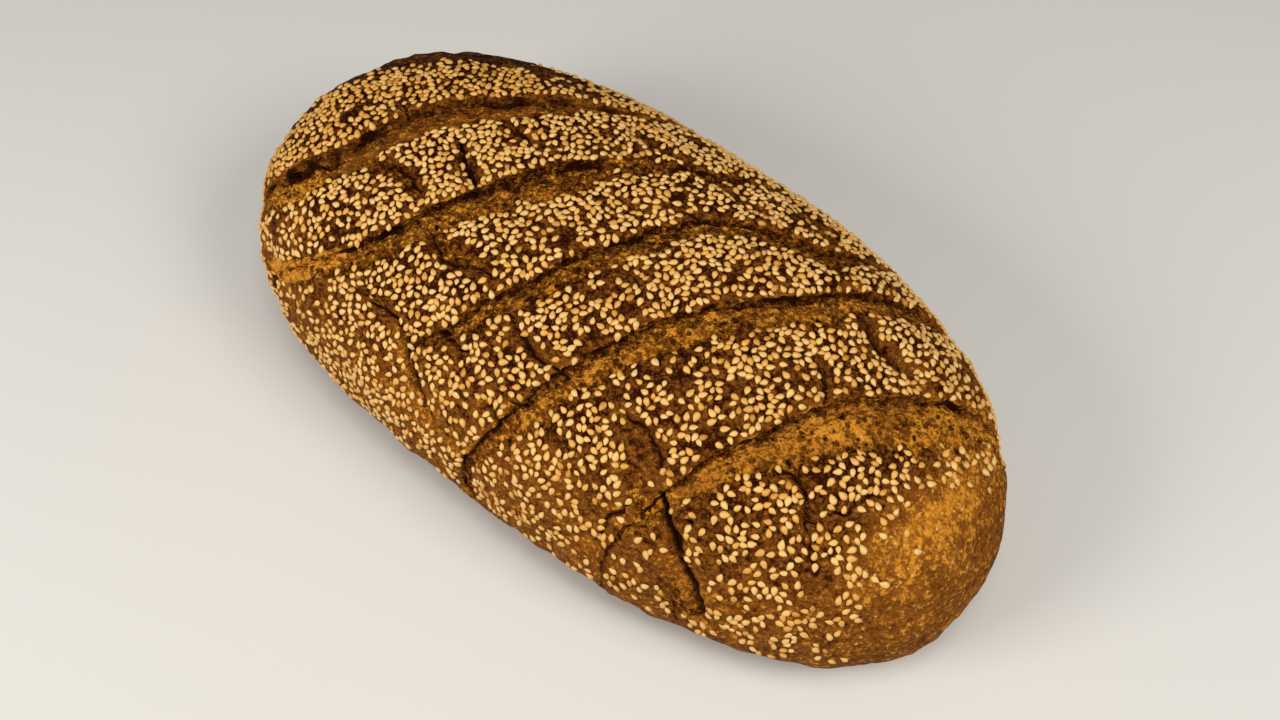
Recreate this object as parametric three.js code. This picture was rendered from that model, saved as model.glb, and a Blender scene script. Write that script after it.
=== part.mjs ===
// Sesame hearth loaf: one long oval bread, baked as a single piece on a flat hearth, with five slanted
// slashes that opened across its crown as it rose. The crumb inside is one body with the crust.
//
// Millimetres, +Z up. The origin is on the resting face, under the middle of the loaf's outline.
// +X runs along the loaf, +Y across it. Each slash leans, so that its +Y end lies further along +X.

import * as THREE from 'three';
import { mergeVertices } from 'three/addons/utils/BufferGeometryUtils.js';

// Overall size.
const LENGTH = 270;
const WIDTH = 145;
const HEIGHT = 80;

// Outline seen from above: a superellipse at each end, on a centre line that bows towards -Y at the ends.
// The front end is fuller on its +Y side than on its -Y side.
const OUTLINE_POWER = { back: 2.8, frontLeft: 2.1, frontRight: 2.4 };
const BOW = 7.8;
const BOW_LEAN = 2.5;
const CENTRE_OFFSET = -7.6;

// Section: a domed crown above the belly, and a side that tucks in below it to the flat resting face.
const BELLY_HEIGHT = 26;
const CROWN_POWER = 2.25;
const CREST_POWER = { back: 3.6, front: 2.45 };
const TUCK_DEPTH = 40;
const TUCK_POWER = 2.5;

// Slashes, from the -X end. The line is the sharp edge, or ear, on the -X side of the opening.
// The opening lies on the line's +X side and is as wide as stated at its widest.
const SLASHES = [
  { ear: [[-123, -48], [-111, -43], [-98, -34], [-92, -17], [-82, 3], [-66, 23], [-48, 41], [-26, 66]], width: 13 },
  { ear: [[-101, -63], [-79, -59], [-61, -44], [-48, -19], [-37, 3], [-25, 18], [-9, 36], [22, 70]], width: 11 },
  { ear: [[-40, -74], [-29, -60], [-20, -46], [-11, -28], [-2, -7], [7, 13], [19, 28], [64, 70]], width: 8 },
  { ear: [[-8, -74], [5, -64], [12, -50], [20, -32], [31, -10], [43, 7], [56, 26], [92, 66]], width: 10 },
  { ear: [[50, -68], [60, -50], [67, -32], [77, -8], [90, 13], [104, 30], [122, 46]], width: 15 },
];
const SLASH_DEPTH = 3.4;
const EAR_HEIGHT = 1;
const EAR_OVERRUN = 6;
const SLASH_SLANT = 1.15; // how much longer a step across a slash is when it is taken along X
const SLASH_REACH = 0.93; // how far towards the outline a slash runs, as a share of the half width
const SLASH_END_WIDTH = 0.4; // width of a slash at its ends, as a share of its full width
const SLASH_END_POWER = 0.5; // how bluntly a slash runs out at its ends: 0 stops dead, 1 fades

// Stations across a slash: the step from the ear line, as millimetres or as a share of the width,
// and the rise at that station as a share of the ear height or of the slash depth.
const SLASH_STATIONS = [
  { step: -EAR_OVERRUN, share: 0, rise: 0 },
  { step: -2.2, share: 0, rise: 0.55 * EAR_HEIGHT },
  { step: 0, share: 0, rise: EAR_HEIGHT },
  { step: 1.3, share: 0, rise: -0.95 * SLASH_DEPTH },
  { step: 0, share: 0.4, rise: -0.7 * SLASH_DEPTH },
  { step: 0, share: 0.75, rise: -0.42 * SLASH_DEPTH },
  { step: 0, share: 1, rise: -0.2 * SLASH_DEPTH },
  { step: 3, share: 1, rise: 0.25 * EAR_HEIGHT },
];

// Mesh density.
const CROWN_ROWS = 42;
const TUCK_ROWS = 5;
const END_COLUMNS = 13;
const STRIP_COLUMNS = 2;
const SLASH_SAMPLES = 160;
const MERGE_DISTANCE = 1e-3;

// Height from which the slashes' relief spreads outwards, and the share of the length that holds it.
const CORE_HEIGHT = 12;
const CORE_LENGTH_SHARE = 0.62;

const CRUST_COLOUR = 0x7a4a1c;

const lerp = THREE.MathUtils.lerp;

// A quarter of a superellipse: 1 at s = 0, falling to 0 at s = 1.
function superArc(s, power) {
  return Math.max(0, 1 - Math.min(1, Math.abs(s)) ** power) ** (1 / power);
}

// t runs along the loaf from -1 at the -X end to 1 at the +X end, and side is negative towards -Y.
function halfWidth(t, side) {
  const front = side < 0 ? OUTLINE_POWER.frontLeft : OUTLINE_POWER.frontRight;
  return (WIDTH / 2) * superArc(t, t > 0 ? front : OUTLINE_POWER.back);
}

function centreLine(t) {
  return CENTRE_OFFSET + (BOW + BOW_LEAN * t) * (1 - t * t);
}

// v runs across the loaf, from -1 on the -Y outline to 1 on the +Y outline.
function crownHeight(t, v) {
  const rise = (HEIGHT - BELLY_HEIGHT) * superArc(t, t > 0 ? CREST_POWER.front : CREST_POWER.back);
  return BELLY_HEIGHT + rise * superArc(v, CROWN_POWER);
}

// The share of the outline that is left at height z, below the belly.
function tuckShare(z) {
  return superArc((BELLY_HEIGHT - z) / TUCK_DEPTH, TUCK_POWER);
}

// The x of a slash's ear at each v, from a smooth curve through its points.
function earAt(slash) {
  const curve = new THREE.CatmullRomCurve3(slash.ear.map(([x, y]) => new THREE.Vector3(x, y, 0)));
  const samples = curve.getPoints(SLASH_SAMPLES).map((p) => {
    const t = (2 * p.x) / LENGTH;
    const offset = p.y - centreLine(t);
    return { x: p.x, v: offset / halfWidth(t, offset) };
  });
  return (v) => {
    const next = samples.findIndex((s) => s.v > v);
    if (next < 0) return samples.at(-1).x;
    if (next === 0) return samples[0].x;
    const a = samples[next - 1];
    const b = samples[next];
    return lerp(a.x, b.x, (v - a.v) / (b.v - a.v));
  };
}

// 1 in the middle of a slash, falling smoothly to 0 where it ends.
function slashStrength(v) {
  return Math.cos((Math.PI / 2) * Math.min(1, Math.abs(v) / SLASH_REACH)) ** SLASH_END_POWER;
}

// A column is a line over the crown from the -Y outline to the +Y outline: its x, and the rise of
// the surface along it, both as functions of v.
function slashColumns(slash) {
  const ear = earAt(slash);
  const width = (v) => slash.width * lerp(SLASH_END_WIDTH, 1, slashStrength(v));
  return SLASH_STATIONS.map(({ step, share, rise }) => ({
    x: (v) => ear(v) + SLASH_SLANT * (step + share * width(v)),
    rise: (v) => rise * slashStrength(v),
  }));
}

function columnsBetween(first, last, count) {
  return Array.from({ length: count }, (_, k) => ({
    x: (v) => lerp(first.x(v), last.x(v), (k + 1) / (count + 1)),
    rise: () => 0,
  }));
}

// Columns that close up towards an end of the loaf, where the outline turns round.
function endColumns(pole, neighbour) {
  return Array.from({ length: END_COLUMNS }, (_, k) => ({
    x: (v) => lerp(pole.x(v), neighbour.x(v), 1 - Math.cos((Math.PI / 2) * ((k + 1) / (END_COLUMNS + 1)))),
    rise: () => 0,
  }));
}

function allColumns() {
  const back = { x: () => -LENGTH / 2, rise: () => 0 };
  const front = { x: () => LENGTH / 2, rise: () => 0 };
  const groups = SLASHES.map(slashColumns);
  const columns = [back, ...endColumns(back, groups[0][0])];
  groups.forEach((group, k) => {
    columns.push(...group);
    if (k + 1 < groups.length) columns.push(...columnsBetween(group.at(-1), groups[k + 1][0], STRIP_COLUMNS));
  });
  columns.push(...endColumns(front, groups.at(-1).at(-1)).reverse(), front);
  return columns;
}

// A point of the crown, moved by the column's rise away from a core line inside the loaf.
function crownPoint(column, v) {
  const x = column.x(v);
  const t = (2 * x) / LENGTH;
  const point = new THREE.Vector3(x, centreLine(t) + v * halfWidth(t, v), crownHeight(t, v));
  const core = new THREE.Vector3(x * CORE_LENGTH_SHARE, centreLine(t), CORE_HEIGHT);
  const outward = point.clone().sub(core).normalize();
  return point.addScaledVector(outward, column.rise(v));
}

function tuckPoint(column, side, z) {
  const x = column.x(side);
  const t = (2 * x) / LENGTH;
  const share = tuckShare(z);
  return new THREE.Vector3(share * x, centreLine(t) + side * share * halfWidth(t, side), z);
}

// The ring of points that a column makes round the loaf: over the crown, down the +Y side to the
// resting face, and back up the -Y side.
function ringOf(column) {
  const ring = [];
  for (let row = 0; row <= CROWN_ROWS; row++) {
    ring.push(crownPoint(column, -Math.cos((Math.PI * row) / CROWN_ROWS)));
  }
  for (let row = 1; row <= TUCK_ROWS; row++) {
    ring.push(tuckPoint(column, 1, BELLY_HEIGHT * (1 - row / TUCK_ROWS)));
  }
  for (let row = TUCK_ROWS; row >= 1; row--) {
    ring.push(tuckPoint(column, -1, BELLY_HEIGHT * (1 - row / TUCK_ROWS)));
  }
  return ring;
}

// Joins the rings into one closed skin. The rings close to a line at each end of the loaf, so points
// that coincide are merged there and triangles with no area are dropped.
function skin(rings) {
  const size = rings[0].length;
  const positions = rings.flat().flatMap((p) => p.toArray());
  const index = [];
  for (let i = 0; i + 1 < rings.length; i++) {
    for (let j = 0; j < size; j++) {
      const next = (j + 1) % size;
      const [a, b] = [i * size + j, i * size + next];
      const [c, d] = [(i + 1) * size + next, (i + 1) * size + j];
      index.push(a, d, c, a, c, b);
    }
  }
  const loose = new THREE.BufferGeometry();
  loose.setAttribute('position', new THREE.Float32BufferAttribute(positions, 3));
  loose.setIndex(index);
  const geometry = mergeVertices(loose, MERGE_DISTANCE);
  const merged = Array.from(geometry.index.array);
  const kept = [];
  for (let k = 0; k < merged.length; k += 3) {
    const [a, b, c] = merged.slice(k, k + 3);
    if (a !== b && b !== c && c !== a) kept.push(a, b, c);
  }
  geometry.setIndex(kept);
  geometry.computeVertexNormals();
  return geometry;
}

const loaf = new THREE.Mesh(
  skin(allColumns().map(ringOf)),
  new THREE.MeshStandardMaterial({ color: CRUST_COLOUR, roughness: 0.8, metalness: 0 }),
);
loaf.name = 'loaf';

const bread = new THREE.Group();
bread.add(loaf);

export default bread;
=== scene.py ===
"""Sesame hearth loaf: one oval bread with five slanted slashes, and the sesame seeds baked onto its crust.

Laid out as an add-on and run as a script. All shapes are worked out in millimetres in the CAD's own frame:
the origin is on the resting face, +X runs along the loaf and +Y across it. Meshes are made in metres.
"""

import math
from itertools import product

import bpy
import numpy as np
from bpy.props import FloatProperty, FloatVectorProperty, IntProperty, PointerProperty
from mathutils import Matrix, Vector


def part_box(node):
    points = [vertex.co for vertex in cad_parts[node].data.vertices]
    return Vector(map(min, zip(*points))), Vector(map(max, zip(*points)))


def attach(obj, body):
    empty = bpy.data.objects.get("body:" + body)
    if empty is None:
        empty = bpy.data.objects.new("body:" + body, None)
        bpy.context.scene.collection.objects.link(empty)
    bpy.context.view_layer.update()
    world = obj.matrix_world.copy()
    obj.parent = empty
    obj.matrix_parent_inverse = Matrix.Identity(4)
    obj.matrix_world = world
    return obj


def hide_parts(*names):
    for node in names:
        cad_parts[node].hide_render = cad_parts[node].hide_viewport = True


bl_info = {
    "name": "Sesame Hearth Loaf",
    "version": (1, 0, 0),
    "blender": (4, 5, 0),
    "location": "View3D > Sidebar > Loaf",
    "description": "Bakes a slashed, seeded hearth loaf round its packed solid",
    "category": "Add Mesh",
}

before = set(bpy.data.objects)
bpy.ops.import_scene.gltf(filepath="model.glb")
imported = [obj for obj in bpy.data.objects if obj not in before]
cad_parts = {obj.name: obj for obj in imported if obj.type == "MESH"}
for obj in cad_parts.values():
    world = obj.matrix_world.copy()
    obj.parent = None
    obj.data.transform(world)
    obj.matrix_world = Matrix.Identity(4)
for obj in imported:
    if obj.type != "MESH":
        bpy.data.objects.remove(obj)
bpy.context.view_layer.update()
LOAF_LOW, LOAF_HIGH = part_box("loaf")

MM = 0.001

# The loaf's form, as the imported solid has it, in millimetres where it is a length.
EAR_HEIGHT = 1.0
OUTLINE_POWER = {"back": 2.8, "front_left": 2.1, "front_right": 2.4}  # back is -X, left is -Y
CREST_POWER = {"back": 3.6, "front": 2.45}
CROWN_POWER = 2.25
BOW, BOW_LEAN, CENTRE_OFFSET = 7.8, 2.5, -7.6
BELLY_HEIGHT = 26
TUCK_DEPTH, TUCK_POWER = 40, 2.5

# Each slash's ear: x, y and the width of the opening there. The opening lies on the line's +X side.
# Its paleness is how light its crumb is, from 0 for dark to 1 and more for gold: partly how it baked and
# partly painted shade, as in the first slash, whose crumb lies low. rust is how much of it browned like
# crust.
# depth is how far it drops under the ear, and bulge how far its crumb swells.
SLASHES = [
    {
        "ear": [
            (-123, -48, 4), (-117, -45.5, 7), (-111.5, -43.5, 9), (-106, -38.2, 11), (-100, -32.4, 12),
            (-94.5, -26, 12), (-92, -17.5, 13), (-88, -7.5, 14), (-82, 2.5, 13), (-75, 12.5, 13),
            (-66.5, 22.5, 12), (-58.5, 32, 9), (-48.5, 40.5, 7), (-39, 48, 5), (-26, 66, 2.5),
        ],
        "pale_and_shade": 0.7, "rust": 0.8, "depth": 3.0, "bulge": 0.3,
    },
    {
        "ear": [
            (-101, -63.5, 2.5), (-89, -63.5, 4), (-79, -59.5, 6), (-68, -52.5, 8.5), (-61, -44, 9),
            (-54, -31.5, 10.5), (-48, -19.5, 12), (-42, -7.5, 12.5), (-37, 2.5, 13), (-32, 9.5, 10),
            (-25, 18, 6), (-16, 27, 5), (-9, 35.5, 5), (2, 44, 4), (22, 70, 2),
        ],
        "pale_and_shade": 0.95, "rust": 0.1, "depth": 2.2, "bulge": 0.5,
    },
    {
        "ear": [
            (-40, -74, 0.5), (-34, -66, 1.2), (-29, -60, 3.5), (-23, -52, 5.5), (-20, -46, 6),
            (-16, -37.5, 8), (-11, -28, 8), (-7, -17.5, 8), (-2, -7.5, 8), (2, 2.5, 9),
            (7, 12.5, 8), (12, 20, 8), (19, 28, 9), (32, 35.5, 8), (45, 43, 6), (64, 70, 2),
        ],
        "pale_and_shade": 0.9, "rust": 0.1, "depth": 2.0, "bulge": 0.5,
    },
    {
        "ear": [
            (-8, -74, 2.5), (-4, -72, 4), (1, -69.5, 6), (5.5, -64, 7), (8.5, -59, 8), (12, -50.5, 8.5),
            (16, -41, 9), (20.5, -32, 9.5), (25, -22, 12), (31, -10.5, 10), (37, -1, 10), (43, 7, 10),
            (50, 17, 10), (56, 26, 8.5), (62, 35.5, 9), (70, 44.5, 7), (92, 66, 2),
        ],
        "pale_and_shade": 1.15, "rust": 0.15, "depth": 2.0, "bulge": 0.6,
    },
    {
        "ear": [
            (50, -68, 1.5), (54, -61.5, 2.5), (57, -56, 4.5), (60, -50, 6.5), (62, -43.5, 8.5),
            (67, -32.5, 11), (72, -21.5, 14), (77, -8.5, 15), (84, 3.5, 15), (90, 12.5, 16),
            (97, 21.5, 13), (104, 30, 10), (122, 46, 2.5),
        ],
        "pale_and_shade": 1.6, "rust": 0.3, "depth": 2.4, "bulge": 1.2,
    },
]

# Cracks where the crust gave way between the slashes: half width, depth, and x, y along them.
CRACKS = [
    (2.3, 2.8, [(-66, -6), (-56, -12), (-47, -16)]),
    (1.3, 1.6, [(-62, 9), (-55, 9.5), (-43, 7.5)]),
    (1.2, 1.6, [(-96, -3), (-87, -8.5)]),
    (1.7, 3.0, [(-114, -46.5), (-106, -41.5), (-99, -36)]),
    (1.6, 1.4, [(-77, -25), (-68, -26), (-60, -27)]),
    (1.9, 2.6, [(-37, -61.5), (-31, -65), (-24, -69), (-13, -71), (-2, -71)]),
    (
        1.3, 1.8,
        [(-60, -54), (-53, -60), (-41, -60), (-34, -62), (-31, -65), (-24, -69), (-13, -71), (0, -71)],
    ),
    (1.2, 1.5, [(-37, 28), (-28, 25), (-19, 25)]),
    (1.4, 1.8, [(-33, 37), (-26, 36), (-17, 36.5), (-8, 38), (2, 36), (13, 36), (26, 38.5)]),
    (1.1, 1.4, [(-2, 16), (7, 18), (17, 23)]),
    (0.9, 1.0, [(-14, 8), (-6, 9)]),
    (2.3, 3.0, [(63, 26), (70, 26), (75, 23), (80, 21), (89, 22)]),
    (1.1, 1.4, [(66, 5), (72, 1), (76, -3), (79, -10)]),
    (1.0, 1.2, [(58, 14.5), (64, 15.5)]),
    (1.2, 1.5, [(36, -44), (46, -44), (53, -46), (57, -50)]),
    (
        2.5, 3.0,
        [(58, -52), (63, -56), (68, -57.5), (72, -59.5), (76, -60.5), (80, -61), (88, -62.5), (95, -60)],
    ),
    (1.3, 1.6, [(52, -59), (49, -63), (46, -68)]),
    (1.3, 1.8, [(-13, -41), (-4, -44), (6, -46.5), (18, -45)]),
    (1.2, 1.6, [(-48, -34), (-43, -38.5), (-35, -40), (-27, -36.5), (-18, -38)]),
    (1.3, 1.8, [(-27, -55), (-20, -56.5), (-13, -56)]),
    (1.1, 1.3, [(-1, -57.5), (6, -58), (14, -57)]),
    (1.0, 1.2, [(-3, -63), (9, -63.5)]),
    (1.3, 1.8, [(81, -30.5), (86, -27), (89, -27), (92, -31), (96, -36)]),
    (1.3, 1.8, [(26, 49), (36, 48), (45, 46), (53, 47)]),
    (1.2, 1.6, [(96, -34), (102, -22), (104, -12)]),
    (1.3, 1.7, [(98, 33), (106, 30), (114, 31)]),
    (1.2, 1.5, [(-86, 38), (-74, 44), (-60, 50), (-44, 52)]),
    (1.3, 1.8, [(-36, 58), (-12, 62), (14, 63)]),
    (1.3, 1.8, [(30, 60), (52, 61), (78, 57)]),
]

# Rough crumb torn open beside a slash's end: half width, how pale (below 0 it is painted shade), and x, y
# along it.
TEARS = [
    (3.8, 1.5, [(-113, -51), (-105, -49), (-99, -46.5), (-93, -41)]),
    # A dark patch under the first slash's ear at its low end: painted shade, laid as torn crumb.
    (2.6, -0.5, [(-111, -45.5), (-103, -41), (-98.5, -36.5)]),
    (3.6, 1.7, [(-70, -55), (-78, -61), (-90, -64), (-106, -61)]),
    (2.0, 0.6, [(50, -53), (56, -57), (60, -62)]),
    (2.2, 0.7, [(72, -62), (82, -66)]),
    (2.4, 0.6, [(-44, -37), (-34, -37.5), (-26, -34.5)]),
    (2.0, 0.5, [(-80, -29), (-70, -27.5), (-60, -29)]),
]

# Deep round holes: x, y and radius.
HOLES = [
    (-96, -34.5, 3.4), (-101, -39, 1.8), (81, -26, 1.4), (84, -4, 1.2), (93, 1, 1.1), (97, 8, 1.5),
    (101, 13, 1.3), (96, -7, 1.0), (104, 22, 1.2), (-3, -19.5, 1.8), (16.5, 24, 1.2), (44, 46, 1.8),
    (65, 38, 1.3), (70, 26, 1.9), (106, 28, 1.6), (69, -52.5, 1.7), (12, 14, 1.2), (-39, 5, 1.1),
]

# How thickly each strip of crust between the slashes is seeded, from the -X end.
STRIP_COVER = [0.96, 0.93, 0.92, 0.85, 0.66, 0.5]

# How light each strip's crust is, against the loaf's usual bake: partly its bake and partly painted shade,
# darkest at the -X end, where the seeds crowd and less light falls.
STRIP_TONE_AND_SHADE = [-0.6, -0.45, -0.45, -0.35, -0.3, -0.4]

# Places where the coat of seeds is thinner or thicker: x, y, half sizes along each, and the cover there.
PATCHES = [
    (-68, -26.5, 10, 3, 0.05), (-79, -31, 5, 3, 0.1), (-34, -37.5, 15, 4, 0.02), (-12, -14, 6, 4, 0.1),
    (5, -19, 6, 6, 0.08), (38, -31, 11, 7, 0.3), (47, -48, 10, 3.5, 0.1), (60, -56, 9, 4, 0.02),
    (75, -62, 10, 4, 0.05), (62, 8, 16, 14, 0.95), (74, 34, 14, 9, 0.97), (34, 47, 9, 6, 0.1),
    (56, -16, 9, 8, 0.5), (117, -24, 8, 12, 0.12), (98, -50, 12, 8, 0.55), (90, -40, 14, 10, 0.75),
    (108, 12, 6, 12, 0.5), (-104, -49, 9, 4, 0.05), (0, 26, 4, 8, 0.75), (58, 22, 5, 5, 0.35),
    (-76, -67, 12, 3, 0.35), (-100, -58, 6, 4, 0.5), (-77, -52, 5, 4, 0.4), (-103, -19, 3, 9, 0.55),
    (4, -22, 6, 3, 0.15), (14, -13, 9, 3, 0.12), (24, -21, 6, 5, 0.3), (19, -34, 6, 4, 0.15),
    (38, -28, 8, 5, 0.45), (34, 15, 3, 9, 0.1), (-25, 4, 4, 5, 0.4), (-6, -3, 4, 3, 0.5),
    (-14, -17, 6, 2, 0.25), (18, 25, 6, 3, 0.2), (-20, 31, 5, 4, 0.3), (-14, 51, 8, 3, 0.35),
    (8, -57, 8, 4, 0.55), (-31, -37, 6, 3, 0.1), (-74, -63, 12, 3.5, 0.5), (-46, -59.5, 14, 2.4, 0.1),
    (-37, -48, 13, 5, 0.97), (-11, -57.5, 9, 2.6, 0.15), (11, -45, 6, 3.5, 0.3), (-46, -66, 10, 3, 0.95),
]

# The back corner that baked without seeds: the way it faces, how far out along that way the bare crust
# starts in its middle, the middle's place across that way, and how much nearer it starts 40 mm beside that.
BACK_CORNER = np.array((-0.667, 0.745, 0))
BARE_CORNER_START, BARE_CORNER_MIDDLE, BARE_CORNER_HALF, BARE_CORNER_DROP = 81, -63, 40, 12
BARE_CORNER_MOST = (3.0, 1.7)  # how many such steps nearer it gets at most, on either side of its middle
BARE_CORNER_SIDE = (14, -38)  # the places across that way between which the bare crust sets in
BARE_END = 119  # past this x the crust has no seeds
ROUND_END = (100, 122)  # the x over which the crown gives way to the rounder end's bare crust
SEED_ROOM = 2.0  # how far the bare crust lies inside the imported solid, to leave room for relief and seeds

# Layers of noise, each with its height, the size of its swells and its own number.
EAR_WANDER = ((0.9, 7, 101), (0.75, 2.8, 102))
RAGGED_EDGE = ((0.8, 7, 1), (0.5, 2.6, 2))
CRUST_LUMPS = ((0.7, 21, 60), (0.75, 9, 61), (0.35, 4.2, 62), (0.2, 2.2, 66))
CRUMB_LUMPS = ((0.75, 4.4, 63), (0.6, 2.1, 64), (0.2, 1.3, 67))
SEED_CLUMPS = ((1, 9, 71), (0.6, 4, 72))
BARE_EDGE = ((16, 14, 77), (6, 5, 78))

PILLOW_REACH = 3.5  # how far from a crack the crust has swollen by two thirds of its pillow

# A slash across its opening, in millimetres from the ear.
WALL_FOOT = 0.95  # where the wall under the ear ends
FLOOR_START = 0.6  # where the crumb's slope starts, behind the wall
EAR_FADE = 3.2  # how far back the ear's rise dies away
FULL_OPENING = 10  # an opening this wide is as deep as its slash gets
LIP_RISE, LIP_HALF = 0.45, 1.6  # the low lip past the far edge

# Mesh density: rows over the crown and down each side, columns in each strip, the first columns' steps
# past an ear, which draw its edge and wall, and how far the close columns after them reach, and how many.
CROWN_ROWS = 210
TUCK_ROWS = 20
STRIP_COLUMNS = (66, 58, 54, 52, 58, 95)
WALL_STEPS = (0, 0.25, 0.55, WALL_FOOT)
SLASH_SPAN = 16.5
SLASH_COLUMNS = 33
SPAN_SHARE = 0.72  # the most of a strip's width that its close columns take
SHARP_ANGLE = 62  # degrees past which an edge, such as an ear's, is shaded sharp
ARC_SAMPLES = 4001  # points that measure the arc over the crown

# Seeds: tries for each square millimetre, and how near two may lie, as a share of touching.
SEED_TRIES = 0.235
SEED_GAP = 0.84
SEED_SUNK = 0.27  # how high a seed's middle lies over the crust, as a share of its thickness
SEED_TILT = 7  # how far seeds lean from lying flat, in degrees
SEED_SPREAD, SEED_SMALLEST, SEED_LARGEST = 0.09, 0.78, 1.2  # sizes, as shares of the usual one
SEED_TOAST, TOAST_SPREAD = 0.22, 0.24  # how toasted the seeds are, from 0 to 1
DARK_SEEDS, DARK_TOAST = 0.05, 0.5  # the share of seeds that are much darker, and how much
# The first strip's seeds are darker partly as toast and partly as painted shade, for the lesser light at the
# -X end.
BACK_TOAST_AND_SHADE = 0.25  # how much darker the seeds of the first strip are
TIP_START, TIP_TOAST = 0.72, 0.32  # how far along a seed its darker tip starts, and how much darker it is


def length_of(name, description, default):
    """A length setting, in metres."""
    return FloatProperty(name=name, description=description, unit="LENGTH", default=default)


def share_of(name, description, most):
    """A setting that is a share of the usual amount."""
    return FloatProperty(
        name=name, description=description, subtype="FACTOR", default=1.0, min=0, max=most
    )


class LoafShape(bpy.types.PropertyGroup):
    length: length_of("Length", "Length of the loaf", LOAF_HIGH.x - LOAF_LOW.x)
    width: length_of("Width", "Width of the loaf at its middle", 0.145)
    height: length_of("Height", "Height of the crown, without the ears", LOAF_HIGH.z - EAR_HEIGHT * MM)
    slash_depth: share_of("Slash depth", "How deep the slashes are, against their usual depth", 1.5)
    undercut: length_of("Undercut", "How far a slash reaches in under its ear", 0.0009)
    pillow: length_of("Pillow", "How far the crust swells between its cracks", 0.0015)


class SeedCoat(bpy.types.PropertyGroup):
    length: length_of("Length", "Length of one sesame seed", 0.0028)
    width: length_of("Width", "Width of one sesame seed", 0.0018)
    thickness: length_of("Thickness", "Thickness of one sesame seed", 0.0011)
    cover: share_of("Cover", "How thickly the crust is seeded", 1.0)
    seed: IntProperty(name="Random seed", description="Changes where each sesame seed lies", default=7)


def linear(colour):
    """A linear colour, with alpha, from an sRGB hex value."""
    shares = [int(colour[k:k + 2], 16) / 255 for k in (0, 2, 4)]
    return (*(s / 12.92 if s <= 0.04045 else ((s + 0.055) / 1.055) ** 2.4 for s in shares), 1.0)


def colour(name, description, value):
    """A colour setting, with an sRGB hex value as its default."""
    return FloatVectorProperty(
        name=name, description=description, subtype="COLOR", size=4, default=linear(value)
    )


class LoafColours(bpy.types.PropertyGroup):
    # The darkest crust colour is partly painted shade. Besides the darkest bake, it stands for the shade
    # between crowded seeds and in hollows.
    crust_dark: colour("Crust, dark", "Darkest bake of the crust", "2f0b00")
    crust_brown: colour("Crust, brown", "Usual bake of the crust", "844d15")
    crust_amber: colour("Crust, amber", "Lightest bake of the crust", "e2962e")
    bran: colour("Bran", "Flecks of bran in the crust", "f2b65a")
    crumb_brown: colour("Crumb, brown", "Darkest bake of the open crumb", "7c4a12")
    crumb_gold: colour("Crumb, gold", "Lightest bake of the open crumb", "d88e2a")
    # The pore colour is painted shade. It is laid inside pores, pits, holes and cracks and along the line
    # under each ear.
    pore_shade: colour("Pore", "Inside of pores and cracks", "280b00")
    seed_cream: colour("Seed, cream", "Palest sesame seeds", "e1ba73")
    seed_gold: colour("Seed, gold", "Usual bake of the sesame seeds", "d39c46")
    seed_toast: colour("Seed, toast", "Darkest bake of the sesame seeds", "b57a24")
    floor: colour("Floor", "Matt white paint of the floor", "d3d2cf")


class LoafSettings(bpy.types.PropertyGroup):
    shape: PointerProperty(type=LoafShape)
    coat: PointerProperty(type=SeedCoat)
    colours: PointerProperty(type=LoafColours)


# Patterns in numbers.

NEIGHBOURS = list(product((-1, 0, 1), repeat=3))
LATTICE_PRIMES, PATTERN_PRIME = (73856093, 19349663, 83492791), 2654435761
BIT_MIXERS = ((16, 0x7FEB352D), (15, 0x846CA68B), (16, 1))  # a shift, then a factor
LOW_32_BITS, TEN_BITS = 0xFFFFFFFF, 1023
FAR_AWAY = 1e9
NOISE_GAIN = 1.7  # brings the noise's swells up to about 1


def mixed_bits(lattice, pattern):
    """A well-mixed 32-bit number for each whole-numbered lattice point."""
    x, y, z = (lattice[:, k].astype(np.int64) * prime for k, prime in enumerate(LATTICE_PRIMES))
    bits = ((x ^ y ^ z ^ (pattern * PATTERN_PRIME)) & LOW_32_BITS).astype(np.uint64)
    for shift, factor in BIT_MIXERS:
        bits = (bits ^ (bits >> np.uint64(shift))) * np.uint64(factor) & np.uint64(LOW_32_BITS)
    return bits


def thirds(bits):
    """Three numbers from 0 to 1 out of each 32-bit number."""
    return np.stack([(bits >> np.uint64(k)) & np.uint64(TEN_BITS) for k in (0, 10, 20)], 1) / TEN_BITS


def noise(points, size, pattern):
    """Smooth noise, about -1 to 1, with swells about size across. pattern is its own number."""
    spots = points / size
    base = np.floor(spots)
    part = spots - base
    ease = part ** 3 * (part * (part * 6 - 15) + 10)
    total = np.zeros(len(points))
    for corner in product((0, 1), repeat=3):
        slope = thirds(mixed_bits(base + corner, pattern)) * 2 - 1
        weight = np.prod(np.where(corner, ease, 1 - ease), axis=1)
        total += weight * np.sum(slope * (part - corner), axis=1)
    return total * NOISE_GAIN


def layered(points, layers):
    """The sum of some layers of noise."""
    return sum(height * noise(points, size, pattern) for height, size, pattern in layers)


def cells(points, size, pattern):
    """Distance to the nearest of scattered spots about size apart, and a number from 0 to 1 for that spot."""
    base = np.floor(points / size)
    near = np.full(len(points), FAR_AWAY)
    number = np.zeros(len(points))
    for step in NEIGHBOURS:
        share = thirds(mixed_bits(base + step, pattern))
        distance = np.linalg.norm((base + step + share) * size - points, axis=1)
        number = np.where(distance < near, share[:, 0], number)
        near = np.minimum(near, distance)
    return near, number


def ramp(value, low, high):
    """0 below low, 1 above high, and smooth between them. Falls where low is above high."""
    share = np.clip((value - low) / (high - low), 0, 1)
    return share * share * (3 - 2 * share)


def hump(value, middle, half):
    """A bell curve: 1 at the middle, and about a third of that one half width away."""
    return np.exp(-(((value - middle) / half) ** 2))


def super_arc(share, power):
    """A quarter of a superellipse: 1 at share 0, falling to 0 at share 1."""
    return (1 - np.minimum(1, np.abs(share)) ** power) ** (1 / power)


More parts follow.
